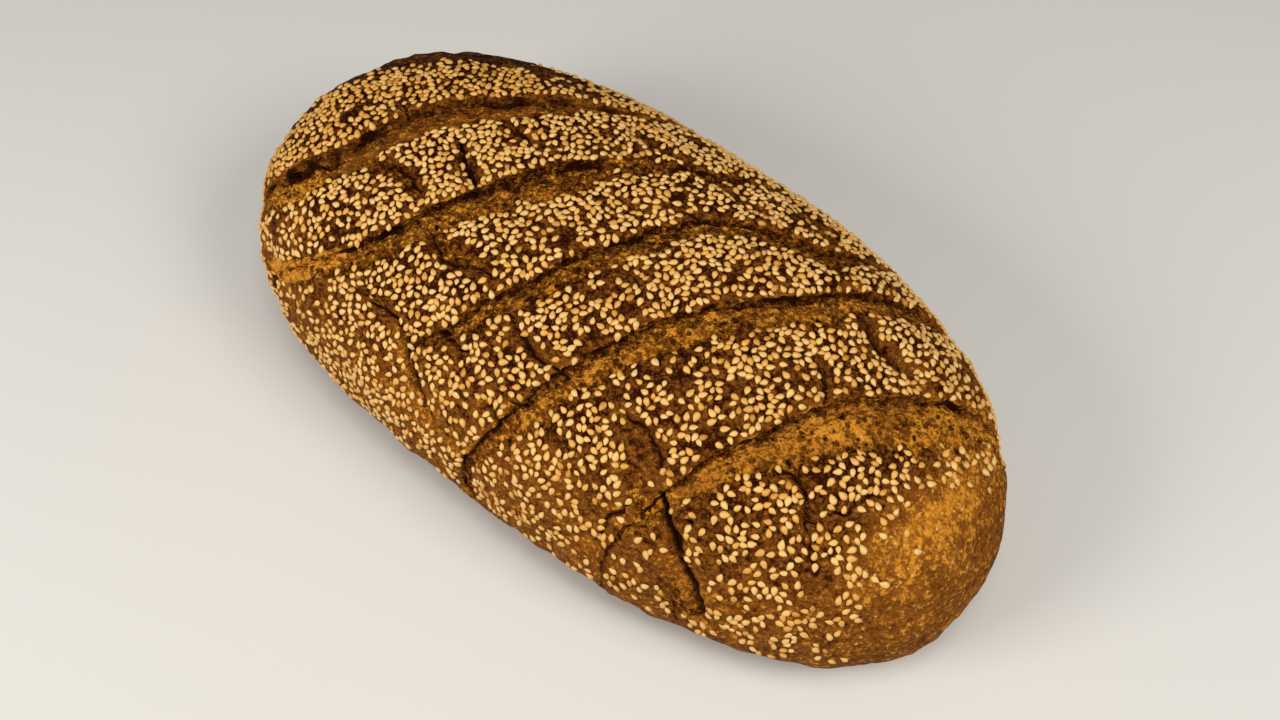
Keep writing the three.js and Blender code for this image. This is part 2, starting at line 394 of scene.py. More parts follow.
def smooth_line(points, per_span=12):
    """Points along a smooth curve through the given ones."""
    given = np.array(points, float)
    given = np.vstack([2 * given[0] - given[1], given, 2 * given[-1] - given[-2]])
    found = []
    for k in range(1, len(given) - 2):
        a, b, c, d = given[k - 1:k + 3]
        for u in np.linspace(0, 1, per_span, endpoint=False):
            bend = (2 * a - 5 * b + 4 * c - d) * u ** 2 + (3 * b - a - 3 * c + d) * u ** 3
            found.append(0.5 * (2 * b + (c - a) * u + bend))
    return np.array([*found, given[-2]])


def distance_to_line(points, line):
    """Each point's distance to a line of straight pieces, and how far along it, from 0 to 1, the nearest
    place is."""
    best = np.full(len(points), FAR_AWAY)
    along = np.zeros(len(points))
    for k, (a, b) in enumerate(zip(line[:-1], line[1:])):
        way = b - a
        share = np.clip((points - a) @ way / (way @ way), 0, 1)
        distance = np.linalg.norm(points - a - share[:, None] * way, axis=1)
        along = np.where(distance < best, (k + share) / (len(line) - 1), along)
        best = np.minimum(best, distance)
    return best, along


# The loaf's form.


def bare_corner(points):
    """How much each point is in the back corner that baked without seeds, from 0 to 1."""
    out = points @ BACK_CORNER
    beside = points @ np.cross(BACK_CORNER, (0, 0, 1))
    aside = (beside - BARE_CORNER_MIDDLE) / BARE_CORNER_HALF
    aside = np.minimum(aside ** 2, np.where(aside < 0, *BARE_CORNER_MOST))
    start = BARE_CORNER_START - BARE_CORNER_DROP * aside
    bare = ramp(out - start + 4 * noise(points, 6, 75), -3, 4)
    return bare * ramp(beside + layered(points, BARE_EDGE), *BARE_CORNER_SIDE)


class LoafForm:
    """The smooth loaf, before slashes and cracks. t runs along it from -1 to 1, and v across it."""

    def __init__(self, shape):
        self.length, self.width, self.height = shape.length / MM, shape.width / MM, shape.height / MM

    def along(self, x):
        return 2 * x / self.length

    def half_width(self, t, v):
        back, left, right = (super_arc(t, power) for power in OUTLINE_POWER.values())
        return self.width / 2 * np.where(t > 0, np.where(v < 0, left, right), back)

    def centre_line(self, t):
        return CENTRE_OFFSET + (BOW + BOW_LEAN * t) * (1 - t * t)

    def crown_height(self, t, v):
        crest = np.where(t > 0, super_arc(t, CREST_POWER["front"]), super_arc(t, CREST_POWER["back"]))
        return BELLY_HEIGHT + (self.height - BELLY_HEIGHT) * crest * super_arc(v, CROWN_POWER)

    def across(self, x, y):
        t = self.along(x)
        off = y - self.centre_line(t)
        return off / np.maximum(self.half_width(t, off), 1e-6)

    def on_crown(self, x, v):
        t = self.along(x)
        return np.stack([x, self.centre_line(t) + v * self.half_width(t, v), self.crown_height(t, v)], -1)

    def over(self, points):
        """The places on the crown above the given x, y."""
        x, y = np.array(points, float).T[:2]
        return self.on_crown(x, np.clip(self.across(x, y), -1, 1))

    def ring(self):
        """What each row round the loaf has: v, the share of the outline that is left, and its height if it is
        below the belly. The rows run over the crown from -Y to +Y, and down and back round the two sides."""
        v = np.linspace(-1, 1, ARC_SAMPLES)
        middle = self.on_crown(np.zeros_like(v), v)
        arc = np.concatenate([[0], np.cumsum(np.linalg.norm(np.diff(middle, axis=0), axis=1))])
        crown = np.interp(np.linspace(0, arc[-1], CROWN_ROWS + 1), arc, v)
        down = BELLY_HEIGHT * (1 - np.arange(1, TUCK_ROWS + 1) / TUCK_ROWS)
        heights = np.concatenate([np.full(CROWN_ROWS + 1, np.nan), down, down[::-1]])
        sides = np.concatenate([crown, np.ones(TUCK_ROWS), -np.ones(TUCK_ROWS)])
        depth = np.nan_to_num((BELLY_HEIGHT - heights) / TUCK_DEPTH)
        return sides, super_arc(depth, TUCK_POWER), heights


def ear_lines(form, v):
    """For each slash, the x of its ear and the width of its opening at each v."""
    lines = []
    for slash in SLASHES:
        x, y, width = smooth_line(slash["ear"]).T
        spots = form.across(x, y)
        order = np.argsort(spots)
        ear = np.interp(v, spots[order], x[order])
        ear = ear + layered(form.on_crown(ear, v), EAR_WANDER)
        lines.append((ear, np.interp(v, spots[order], width[order])))
    return lines


def column_places(form, ears, slants):
    """x of every column at each row, from the -X end to the +X end."""
    half = form.length / 2
    first = np.linspace(0, 1, STRIP_COLUMNS[0], endpoint=False)
    places = [-half + (ears[0] + half) * (1 - math.cos(math.pi / 2 * share)) for share in first]
    floor_steps = np.linspace(WALL_FOOT, SLASH_SPAN, SLASH_COLUMNS - len(WALL_STEPS) + 1)[1:]
    edges = [*ears[1:], np.full(len(ears[0]), half)]
    for k, (ear, slant, edge) in enumerate(zip(ears, slants, edges)):
        last = k == len(ears) - 1
        fit = np.minimum(1, SPAN_SHARE * (edge - ear) / (SLASH_SPAN * slant))
        places += [ear + step * slant * fit for step in (*WALL_STEPS, *floor_steps)]
        rest = STRIP_COLUMNS[k + 1] - SLASH_COLUMNS
        start = places[-1]
        for j in range(1, rest + last):
            share = math.sin(math.pi / 2 * (j / rest)) if last else j / rest
            places.append(start + (edge - start) * share)
    return np.array(places)


def unit(vectors):
    """The vectors, each brought to a length of 1."""
    length = np.linalg.norm(vectors, axis=-1, keepdims=True)
    return vectors / np.maximum(length, 1e-9)


def flattened(vectors, normals):
    """The vectors, each without its part along its normal."""
    return vectors - np.sum(vectors * normals, 1, keepdims=True) * normals


def grid_normals(grid):
    """Outward normals of a grid of columns and closed rows."""
    along = np.gradient(grid, axis=0)
    across = np.roll(grid, -1, axis=1) - np.roll(grid, 1, axis=1)
    low = CROWN_ROWS + TUCK_ROWS
    across[:, low] = grid[:, low] - grid[:, low - 1]
    across[:, low + 1] = grid[:, low + 2] - grid[:, low + 1]
    normals = unit(np.cross(along, across))
    # The grid closes to a line at each end of the loaf, which takes its normals from the column beside it.
    for end, beside in ((0, 1), (-1, -2)):
        crown = unit(normals[beside, :CROWN_ROWS + 1].mean(0) * (1, 1, 0))
        plus = normals[beside, CROWN_ROWS + 1:low + 1]
        minus = normals[beside, low + 1:][::-1]
        side = unit(plus + minus)
        normals[end] = np.concatenate([np.tile(crown, (CROWN_ROWS + 1, 1)), side, side[::-1]])
    return normals


# What the crust's material reads at each point: how much of it is crumb, how pale that crumb is with its
# painted shade, and how much of it is rusty like crust, how much painted shade it takes in cracks, holes,
# pits and pores and under the ears, whether it is torn, and how lightly its crust baked, with painted light
# and shade.
MASKS = ("crumb", "pale_and_shade", "rust", "hollow_shade", "torn", "tone_and_shading")


class LoafSkin:
    """The finished skin as a grid of points, and what each point needs for its colour and its seeds."""

    def __init__(self, shape):
        form = LoafForm(shape)
        v, share, heights = form.ring()
        lines = ear_lines(form, v)
        ears = [ear for ear, _ in lines]
        slants = []  # how much longer a step across an ear is when it is taken along X
        for ear in ears:
            path = form.on_crown(ear, v)
            step = np.gradient(path[:CROWN_ROWS + 1], axis=0)
            slant = np.sqrt(1 + step[:, 0] ** 2 / np.maximum(step[:, 1] ** 2 + step[:, 2] ** 2, 1e-6))
            sides = (np.full(TUCK_ROWS, slant[end]) for end in (-1, 0))
            slants.append(np.concatenate([slant, *sides]))
        places = column_places(form, ears, slants)
        t = form.along(places)
        y = form.centre_line(t) + v * share * form.half_width(t, v)
        z = np.where(np.isnan(heights), form.crown_height(t, v), np.nan_to_num(heights))
        grid = np.stack([places * share, y, z], -1)
        self.size, self.form = places.shape, form
        self.smooth, self.normals, self.along = (
            part.reshape(-1, 3) for part in (grid, grid_normals(grid), unit(np.gradient(grid, axis=0)))
        )
        count = len(self.smooth)
        self.strip = np.zeros(count, int)
        self.masks = {name: np.zeros(count) for name in MASKS}
        self.seam = np.full(count, FAR_AWAY)  # how far each point is from a slash or crack
        self.rise, self.shift = np.zeros(count), np.zeros(count)  # how far it moves outwards, and along X
        self.open_slashes(shape, places, share, lines, slants)
        self.crack_crust()
        self.lift(shape)
        self.bake_with_painted_light()

    def raise_mask(self, name, amount):
        """Brings a mask up to an amount where it is lower."""
        self.masks[name] = np.maximum(self.masks[name], amount)

    def set_mask(self, name, where, amount):
        """Sets a mask to an amount in some places."""
        self.masks[name] = np.where(where, amount, self.masks[name])

    def open_slashes(self, shape, places, share, lines, slants):
        """Each slash drops under its ear and climbs again to the next strip as rough crumb."""
        flat = self.smooth
        ragged = layered(flat, RAGGED_EDGE)
        fade = np.tile(ramp(share, 0.93, 0.995), self.size[0])  # slashes run out where the sides tuck in
        for k, ((ear, width), slant, slash) in enumerate(zip(lines, slants, SLASHES)):
            step = ((places - ear) / slant).ravel()
            wide = np.tile(width, self.size[0])
            self.strip += step >= 0
            strength = np.minimum(1, wide / FULL_OPENING) ** 0.9 * fade
            far = wide + ragged * 0.16 * wide * ramp(wide, 2, 6)
            inside = np.clip((step - FLOOR_START) / np.maximum(far - FLOOR_START, 0.5), 0, 1)
            uneven = 1 + 0.35 * noise(flat, 8, 11 + k)
            depth = slash["depth"] * shape.slash_depth * strength * uneven
            ear_rise = EAR_HEIGHT * strength * uneven
            wall = ramp(step, 0, WALL_FOOT)
            swell = slash["bulge"] * np.sin(math.pi * inside ** 0.8) - 0.7 * inside ** 4
            floor = strength * swell - depth * (1 - inside) ** 1.7
            behind = ear_rise * np.exp(np.minimum(step, 0) / EAR_FADE)
            profile = np.where(step < 0, behind, (1 - wall) * ear_rise + wall * floor)
            lip = LIP_RISE * strength * hump(step, far + LIP_HALF, LIP_HALF)
            self.rise += np.where(step > far, 0, profile) + lip
            self.shift -= shape.undercut / MM * strength * ramp(step, 0, 0.7) * ramp(step, 3.2, 0.9)

            # The crumb's ragged edges, its bake, and strips of painted shade under the ear and along the far
            # edge.
            edge = np.minimum(step + 0.2, far - step)
            self.raise_mask("crumb", np.clip(0.5 + edge / 3, 0, 1) * ramp(strength, 0.08, 0.3))
            near = (step > -4) & (step < far + 5)
            shade = 0.8 * hump(step, 1.2, 1.1) + 0.5 * hump(step, far - 0.9, 1.0)
            self.set_mask("pale_and_shade", near, slash["pale_and_shade"] - shade)
            rust = slash["rust"] + 0.5 * ramp(flat[:, 1], 20, 50) + 0.5 * noise(flat, 10, 90 + k)
            rust = np.clip(rust, 0, 1)
            self.set_mask("rust", near, rust)
            self.masks["tone_and_shading"] += near * ramp(edge, -0.5, 1.5) * (1.1 * rust - shade)

            # A broken line of painted shadow under the ear, and along its top a lighter edge, partly its own
            # amber crust and partly a painted highlight.
            broken = np.clip(0.6 + 0.75 * noise(flat, 9, 80 + k), 0.05, 1.0)
            line = ramp(np.abs(step - 0.7), 0.95, 0.25) * ramp(strength, 0.05, 0.4)
            self.raise_mask("hollow_shade", broken * line)
            self.masks["tone_and_shading"] += 0.5 * strength * hump(step, -0.6, 1.3)
            gap = np.maximum(-step, step - far) + 30 * (1 - ramp(strength, 0.05, 0.3))
            self.seam = np.minimum(self.seam, gap)

    def line_taper(self, points, line, half, end_share, slope):
        """Each point's distance to a line on the crown, and the half width of the line's cut beside it, which
        grows from a share of the full one at the line's ends."""
        distance, along = distance_to_line(points, self.form.over(smooth_line(line, 4)))
        return distance, half * np.minimum(1, end_share + slope * np.minimum(along, 1 - along))

    def crack_crust(self):
        """Cracks, tears and holes, each with a ragged edge. Cracks and holes are painted dark inside, as
        shade.
        """
        flat = self.smooth
        bend = np.stack([layered(flat, ((1.3, 5, 20 + k), (0.6, 1.9, 30 + k))) for k in range(3)], 1)
        bent = flat + flattened(bend, self.normals)
        rim = np.zeros(len(flat))
        for half, depth, line in CRACKS:
            distance, taper = self.line_taper(bent, line, half, 0.35, 2.6)
            cut = ramp(distance, taper, taper * 0.15)
            self.rise -= depth * cut - 0.35 * hump(distance, 2.2 * taper, taper)
            self.raise_mask("hollow_shade", np.clip(1.15 - distance / (taper * 1.1), 0, 1))
            rim = np.maximum(rim, 0.45 * ramp(distance, 3.2 * half, half))
            self.seam = np.minimum(self.seam, distance - 1.15 * taper - 0.3)
        self.masks["tone_and_shading"] += rim
        for half, pale_and_shade, line in TEARS:
            distance, taper = self.line_taper(bent, line, half, 0.4, 3)
            inside = ramp(distance, taper * 1.3, taper * 0.6)
            self.rise += inside * (0.5 + 0.9 * noise(flat * (1, 1, 1.6), 2.6, 41))
            self.raise_mask("torn", np.clip(1.3 - distance / (taper * 1.3), 0, 1))
            self.set_mask("pale_and_shade", inside > 0.05, pale_and_shade)
            self.set_mask("rust", inside > 0.05, 0)
            self.seam = np.minimum(self.seam, distance - half)
        for x, y, radius in HOLES:
            distance = np.linalg.norm(bent - self.form.over([(x, y)]), axis=1)
            self.rise -= 1.9 * radius * ramp(distance, radius * 1.15, radius * 0.3)
            self.raise_mask("hollow_shade", np.clip(1.3 - distance / radius, 0, 1))

    def lift(self, shape):
        """Moves the smooth skin out and in by all its relief: the slashes and cracks, the pillows of crust
        between them, and the lumps, pores and pits."""
        flat = self.smooth
        crumb = ramp(np.maximum(self.masks["crumb"], self.masks["torn"]), 0.45, 0.75)
        crust = 1 - crumb

        # Pores in the crumb, wide and small, and shallow pits in the crust. Not every cell has one. Both are
        # also painted dark inside, as shade.
        near, number = cells(flat, 3.4, 50)
        radius, here = 0.45 + 0.95 * number, number > 0.25
        pores = 1.1 * radius * ramp(near, radius, 0.1) * here
        self.raise_mask("hollow_shade", crumb * here * np.clip(1.3 - near / radius, 0, 1))
        near, number = cells(flat, 1.9, 51)
        radius, here = 0.3 + 0.45 * number, number > 0.4
        pores += 0.7 * radius * ramp(near, radius, 0.1) * here
        bent = flat + 0.5 * np.stack([noise(flat, 1.8, 68 + k) for k in range(3)], 1)
        near, number = cells(bent, 4.4, 65)
        radius = (0.5 + 1.1 * number) * (1 + 0.3 * ramp(flat[:, 0], *ROUND_END))
        here = (number > 0.35) * crust
        pits = 0.6 * radius * ramp(near, radius, 0.1) * here
        self.raise_mask("hollow_shade", 0.62 * here * np.clip(1.25 - near / radius, 0, 1))

        pillow = shape.pillow / MM * (1 - np.exp(-np.maximum(self.seam, 0) / PILLOW_REACH)) * crust
        lumps = layered(flat, CRUST_LUMPS) * crust + layered(flat, CRUMB_LUMPS) * crumb
        foot = ramp(flat[:, 2], 0, 9)  # the relief dies away where the loaf rests
        rise = (self.rise + pillow - pores * crumb - pits + lumps - SEED_ROOM) * foot
        moved = flat + self.normals * rise[:, None] + self.along * (self.shift * foot)[:, None]
        moved[:, 2] = np.maximum(moved[:, 2], 0)
        self.points = moved.reshape(*self.size, 3)

    def bake_with_painted_light(self):
        """The rounder end and the low flanks lighter than the crown, partly from their bake and partly as
        painted light.
        """
        flat = self.smooth
        end = ramp(flat[:, 0], *ROUND_END)
        flank = ramp(flat[:, 2], 70, 38)
        # Each strip's tone has painted shade in it. The end is painted lighter high up than low down, as
        # light falls on it.
        tone_and_shading = np.array(STRIP_TONE_AND_SHADE)[self.strip] + end * (2.05 - 1.1 * flank) + 0.75 * flank * (1 - end)
        tone_and_shading += 0.15 * bare_corner(flat) * (1 - flank)
        self.masks["tone_and_shading"] = np.clip(self.masks["tone_and_shading"] + tone_and_shading, -0.5, 1.5)

    def faces(self):
        """The grid's faces as index rows of three or four, closed at both ends and under the loaf."""
        columns, rows = self.size
        index = np.arange(columns * rows).reshape(columns, rows)
        low = CROWN_ROWS + TUCK_ROWS
        for end in (0, columns - 1):
            index[end, :CROWN_ROWS + 1] = index[end, 0]
            index[end, low + 1:] = index[end, CROWN_ROWS + 1:low + 1][::-1]
        following = np.roll(index, -1, axis=1)
        quads = np.stack([index[:-1], index[1:], following[1:], following[:-1]], -1).reshape(-1, 4)
        found = []
        for quad in quads.tolist():
            corners = [c for k, c in enumerate(quad) if c != quad[k - 1]]
            if len(corners) > 2:
                found.append(corners)
        return found


def add_object(name, data):
    """Adds an object to the scene."""
    thing = bpy.data.objects.new(name, data)
    bpy.context.scene.collection.objects.link(thing)
    return thing


def mesh_piece(name, points, faces, material, values):
    """A smooth-shaded mesh object from points in millimetres, without the points that no face uses.
    values maps an attribute's name to its number at each point."""
    used = np.unique(np.concatenate(faces))
    new = np.full(len(points), -1)
    new[used] = np.arange(len(used))
    mesh = bpy.data.meshes.new(name)
    mesh.from_pydata((points[used] * MM).tolist(), [], [new[f].tolist() for f in faces])
    for key, numbers in values.items():
        mesh.attributes.new(key, "FLOAT", "POINT").data.foreach_set("value", numbers[used].astype(np.float32))
    mesh.shade_smooth()
    mesh.materials.append(material)
    return add_object(name, mesh)


# Seeds.


def seed_cover(skin):
    """How thickly each grid point is seeded, from 0 to about 1."""
    flat = skin.smooth
    x, y, z = flat.T
    cover = np.array(STRIP_COVER)[skin.strip]
    for px, py, rx, ry, amount in PATCHES:
        reach = np.sqrt(((x - px) / rx) ** 2 + ((y - py) / ry) ** 2) + 0.25 * noise(flat, 4, 70)
        here = ramp(reach, 1.15, 0.75) * (z > BELLY_HEIGHT)
        cover = cover * (1 - here) + amount * here
    cover = np.clip(cover + layered(flat, SEED_CLUMPS) * 0.8 * (1.35 - cover), 0, 0.97)
    # The rounder end, the low sides and the back corner are bare, and the -Y flank has fewer seeds.
    cover *= ramp(x + 3 * noise(flat, 9, 73), BARE_END + 3, BARE_END - 5)
    cover *= ramp(z + 4 * noise(flat, 10, 74), 14, BELLY_HEIGHT)
    cover *= 1 - bare_corner(flat)
    cover *= 1 - 0.28 * ramp(z, 64, 48) * ramp(y, 0, -40)
    # The cracks, the tears and the crumb are bare too, apart from a seed or two that fell into it.
    cover *= ramp(skin.seam + 0.8 * noise(flat, 3, 76), -0.3, 0.4)
    cover *= 1 - 0.985 * ramp(skin.masks["crumb"], 0.45, 0.62)
    cover *= 1 - ramp(skin.masks["hollow_shade"], 0.2, 0.5)
    cover *= 1 - ramp(skin.masks["torn"], 0.3, 0.6)
    return cover


def seed_shape(around=10, rings=5):
    """One sesame seed, a flat teardrop of unit length, width and thickness with its blunt end at -X. Also how
    far each point is towards the tip."""
    u = (np.arange(rings) + 1) / (rings + 1)
    radius = np.sin(math.pi * u ** 0.74) ** 0.86 / 2
    turn = np.arange(around) / around * 2 * math.pi
    points = [(-0.5, 0, 0)]
    for place, r in zip(u, radius):
        points += [(place - 0.5, r * math.cos(a), r * math.sin(a)) for a in turn]
    points.append((0.5, 0, 0))
    faces = []
    for j in range(around):
        k = (j + 1) % around
        faces.append([0, 1 + k, 1 + j])
        for ring in range(rings - 1):
            a = 1 + ring * around
            faces.append([a + j, a + k, a + around + k, a + around + j])
        last = 1 + (rings - 1) * around
        faces.append([last + j, last + k, len(points) - 1])
    shape = np.array(points)
    return shape, faces, shape[:, 0] + 0.5


def closeness(place, direction, scale, n, m, coat):
    """How far apart seeds n and m lie, as a share of the distance at which their ellipses touch."""
    half_long, half_wide = coat.length / MM / 2, coat.width / MM / 2
    gap = place[m] - place[n]
    distance = math.sqrt(gap @ gap)
    reach = 0
    for one in (n, m):
        lean = abs(gap @ direction[one]) / max(distance, 1e-6)
        across = math.sqrt(max(0, 1 - lean * lean))
        reach += scale[one] * half_long * half_wide / math.hypot(half_wide * lean, half_long * across)
    return distance / reach


def scatter_seeds(skin, coat):
    """Drops seeds onto the skin one at a time, and keeps each that finds room. Returns each one's place,
    normal, direction, size and strip."""
    rng = np.random.default_rng(coat.seed)
    columns, rows = skin.size
    cover = (seed_cover(skin) * coat.cover).reshape(columns, rows)
    points = skin.points
    outward = grid_normals(points)
    for _ in range(3):  # evens the normals out, so that seeds do not follow the smallest lumps
        beside = (np.roll(outward, way, axis) for axis in (0, 1) for way in (1, -1))
        outward = unit(outward + sum(beside))
    a, b = points[:-1, :-1], points[1:, :-1]
    d, c = points[:-1, 1:], points[1:, 1:]
    area = 0.5 * np.linalg.norm(np.cross(c - a, d - b), axis=-1)
    amount = (cover[:-1, :-1] + cover[1:, :-1] + cover[:-1, 1:] + cover[1:, 1:]) / 4
    tries = area * SEED_TRIES * amount / (1.1 - amount)  # a thick coat takes more tries for each seed kept
    chance = tries.ravel() / tries.sum()
    count = int(tries.sum())
    picks = rng.choice(len(chance), count, p=chance)
    i, j = np.unravel_index(picks, tries.shape)
    s, r = rng.random((2, count, 1))
    place = (1 - s) * ((1 - r) * points[i, j] + r * points[i, j + 1]) + s * (
        (1 - r) * points[i + 1, j] + r * points[i + 1, j + 1]
    )
    normal = unit(outward[i, j] + outward[i + 1, j + 1])
    strip = skin.strip.reshape(columns, rows)[i, j]
    direction = rng.normal(size=(count, 3))
    direction = unit(flattened(direction, normal))
    scale = np.clip(rng.normal(1, SEED_SPREAD, count), SEED_SMALLEST, SEED_LARGEST)
    kept, room = [], {}  # room holds the seeds kept so far by the cube that each lies in
    for n in range(count):
        x, y, z = (place[n] // (coat.length / MM)).astype(int).tolist()
        near = [m for a, b, c in NEIGHBOURS for m in room.get((x + a, y + b, z + c), ())]
        if all(closeness(place, direction, scale, n, m, coat) >= SEED_GAP for m in near):
            room.setdefault((x, y, z), []).append(n)
            kept.append(n)
    return place[kept], normal[kept], direction[kept], scale[kept], strip[kept]


def lay_seeds(skin, coat):
    """Every seed's points, the faces of one, how toasted each point is with painted shade on the first strip,
    and the strip each seed lies on.
    Each seed lies nearly flat, and its pointed end is the most toasted."""
    place, normal, direction, scale, strip = scatter_seeds(skin, coat)
    rng = np.random.default_rng(coat.seed + 1)
    shape, faces, tip = seed_shape()
    size = np.array([coat.length, coat.width, coat.thickness]) / MM
    tilt = np.radians(rng.normal(0, SEED_TILT, (len(place), 2)))
    toast_and_shade = np.clip(rng.normal(SEED_TOAST, TOAST_SPREAD, len(place)), 0, 1)
    toast_and_shade += DARK_TOAST * (rng.random(len(place)) < DARK_SEEDS)
    toast_and_shade += BACK_TOAST_AND_SHADE * (strip == 0)
    side = np.cross(normal, direction)
    up = unit(normal + direction * tilt[:, :1] + side * tilt[:, 1:])
    direction = unit(flattened(direction, up))
    axes = np.stack([direction, np.cross(up, direction), up], 1)
    body = shape[None] * (size * scale[:, None])[:, None]
    middle = place + normal * SEED_SUNK * size[2]
    points = np.einsum("nvk,nkc->nvc", body, axes) + middle[:, None]
    darker_tip = TIP_TOAST * np.maximum(0, tip - TIP_START) / (1 - TIP_START)
    return points, faces, toast_and_shade[:, None] + darker_tip, strip


# Materials and stage.


def feed(tree, socket, value):
    """Sets a socket to a value, or links it to the output or the node that feeds it."""
    if isinstance(value, bpy.types.Node):
        value = next(s for s in value.outputs if s.enabled)
    if isinstance(value, bpy.types.NodeSocket):
        tree.links.new(value, socket)
    else:
        socket.default_value = value


def add_node(tree, kind, inputs=None, **settings):
    """Adds a node with its settings. inputs maps a socket's name or identifier to what goes into it."""
    node = tree.nodes.new(kind)
    for key, value in settings.items():
        setattr(node, key, value)
    for key, value in (inputs or {}).items():
        feed(tree, next(s for s in node.inputs if s.enabled and key in (s.identifier, s.name)), value)
    return node


def new_material(name):
    """A material with an empty tree, and its tree and principled shader."""
    material = bpy.data.materials.new(name)
    material.use_nodes = True
    tree = material.node_tree
    tree.nodes.clear()
    shader = add_node(tree, "ShaderNodeBsdfPrincipled")
    add_node(tree, "ShaderNodeOutputMaterial", {"Surface": shader})
    return material, tree, shader


def crust_material(colours):
    """Baked rye and wheat crust, with the open crumb of the slashes.

    The dough was floured, slashed and baked on stone. Its skin dried and browned unevenly, so the crust is
    mottled from near black to amber with flecks of bran, and has a low sheen. The crumb that opened
    later stays paler, matt and full of pores. Painted light and shade lie on top: lighter lump tops, darker
    hollows, and painted shade inside pores, pits and cracks.
    """
    material, tree, shader = new_material("baked_wheat_crust")
    place = add_node(tree, "ShaderNodeTexCoord").outputs["Object"]

    def value(name):
        return add_node(tree, "ShaderNodeAttribute", attribute_name=name).outputs["Fac"]

    def pattern(size_mm, detail=3.0, rough=0.55):
        return add_node(
            tree, "ShaderNodeTexNoise",
            {"Vector": place, "Scale": 1 / (size_mm * MM), "Detail": detail, "Roughness": rough},
        )

    def math_of(operation, *terms):
        sockets = dict(zip(("Value", "Value_001", "Value_002"), terms))
        return add_node(tree, "ShaderNodeMath", sockets, operation=operation)

    def swing(source, amount, base):
        """The base, moved up and down by a pattern's swing about its middle."""
        return math_of("MULTIPLY_ADD", math_of("SUBTRACT", source, 0.5), amount, base)

    def between(source, low, high, start=0.0, end=1.0):
        return add_node(
            tree, "ShaderNodeMapRange",
            {"Value": source, "From Min": low, "From Max": high, "To Min": start, "To Max": end},
            interpolation_type="SMOOTHSTEP",
        )

    def blend(share, a, b):
        return add_node(
            tree, "ShaderNodeMix", {"Factor_Float": share, "A_Color": a, "B_Color": b}, data_type="RGBA"
        )

    # Places bent by a noise 1.4 mm across, so that the lumps and flakes below have uneven outlines.
    bend = add_node(tree, "ShaderNodeTexNoise", {"Vector": place, "Scale": 1 / (1.4 * MM), "Detail": 2.0})
    bent = add_node(
        tree, "ShaderNodeVectorMath",
        {"Vector": bend.outputs["Color"], "Vector_001": (1.1 * MM,) * 3, "Vector_002": place},
        operation="MULTIPLY_ADD",
    )

    def spots(size_mm, output="Distance"):
        return add_node(
            tree, "ShaderNodeTexVoronoi", {"Vector": bent, "Scale": 1 / (size_mm * MM)}, feature="F1"
        ).outputs[output]

    blotch = pattern(14)
    mottle = pattern(4.0, 6.0, 0.75)
    grain = pattern(1.3, 3.0, 0.7)
    lumps = between(spots(2.3), 0.65, 0.1)
    grit = between(spots(1.0), 0.7, 0.1)
    # Painted light and shade on the lumps and grit: lighter on their tops, darker between them.
    shade = math_of("ADD", math_of("MULTIPLY", lumps, 0.8), math_of("MULTIPLY", grit, 0.7))
    shade = swing(grain, 2.2, math_of("SUBTRACT", shade, 0.85))

    # Crust: dark where it baked longest, amber where it stretched late, with painted light and shade from the
    # lumps and the tone mask, and bran flecks about 1 mm long.
    bake_and_shading = swing(blotch, 1.2, swing(mottle, 3.1, value("tone_and_shading")))
    bake_and_shading = math_of("MULTIPLY_ADD", shade, 0.9, bake_and_shading)
    crust = blend(between(bake_and_shading, -1.2, 0.2), colours.crust_dark, colours.crust_brown)
    crust = blend(between(bake_and_shading, 0.1, 1.5), crust, colours.crust_amber)
    fleck = math_of("MULTIPLY", between(spots(1.5), 0.4, 0.2), between(spots(1.5, "Color"), 0.62, 0.7))
    fleck = math_of("MULTIPLY", fleck, between(bake_and_shading, -0.4, 1.2, 0.1, 0.95))
    crust = blend(fleck, crust, colours.bran)

    # Crumb: granular, brown to gold, with painted shade from the lumps and the pale mask, and pinholes up to
    # a millimetre wide painted dark inside as shade.
    crumb_bake_and_shading = swing(blotch, 0.8, swing(mottle, 5.0, value("pale_and_shade")))
    crumb_bake_and_shading = math_of("MULTIPLY_ADD", shade, 1.3, crumb_bake_and_shading)
    crumb = blend(between(crumb_bake_and_shading, -0.9, 0.4), colours.crust_dark, colours.crumb_brown)
    crumb = blend(between(crumb_bake_and_shading, 0.3, 1.4), crumb, colours.crumb_gold)
    crumb = blend(between(crumb_bake_and_shading, 1.5, 3.0), crumb, colours.bran)
    cups = add_node(tree, "ShaderNodeTexVoronoi", {"Vector": place, "Scale": 1 / (2.4 * MM)}, feature="F1")
    cup_size = math_of("MULTIPLY", math_of("POWER", cups.outputs["Color"], 2.0), 0.62)
    pinholes = between(math_of("SUBTRACT", cups.outputs["Distance"], cup_size), 0.06, -0.04)
    crumb = blend(math_of("MULTIPLY", pinholes, 0.8), crumb, colours.pore_shade)

    # The crumb and the cracks meet the crust at ragged edges. Cracks, holes, pits, pores and the line under
    # each ear are painted dark, as shade.
    ragged = math_of("MULTIPLY_ADD", mottle, 0.9, -0.45)
    opened = math_of("MAXIMUM", value("crumb"), value("torn"))
    inside = between(math_of("ADD", opened, ragged), 0.46, 0.62)
    skin = blend(inside, crust, blend(value("rust"), crumb, crust))
    deep = between(math_of("ADD", value("hollow_shade"), ragged), 0.45, 0.9)
    skin = blend(math_of("MULTIPLY", deep, 0.97), skin, colours.pore_shade)

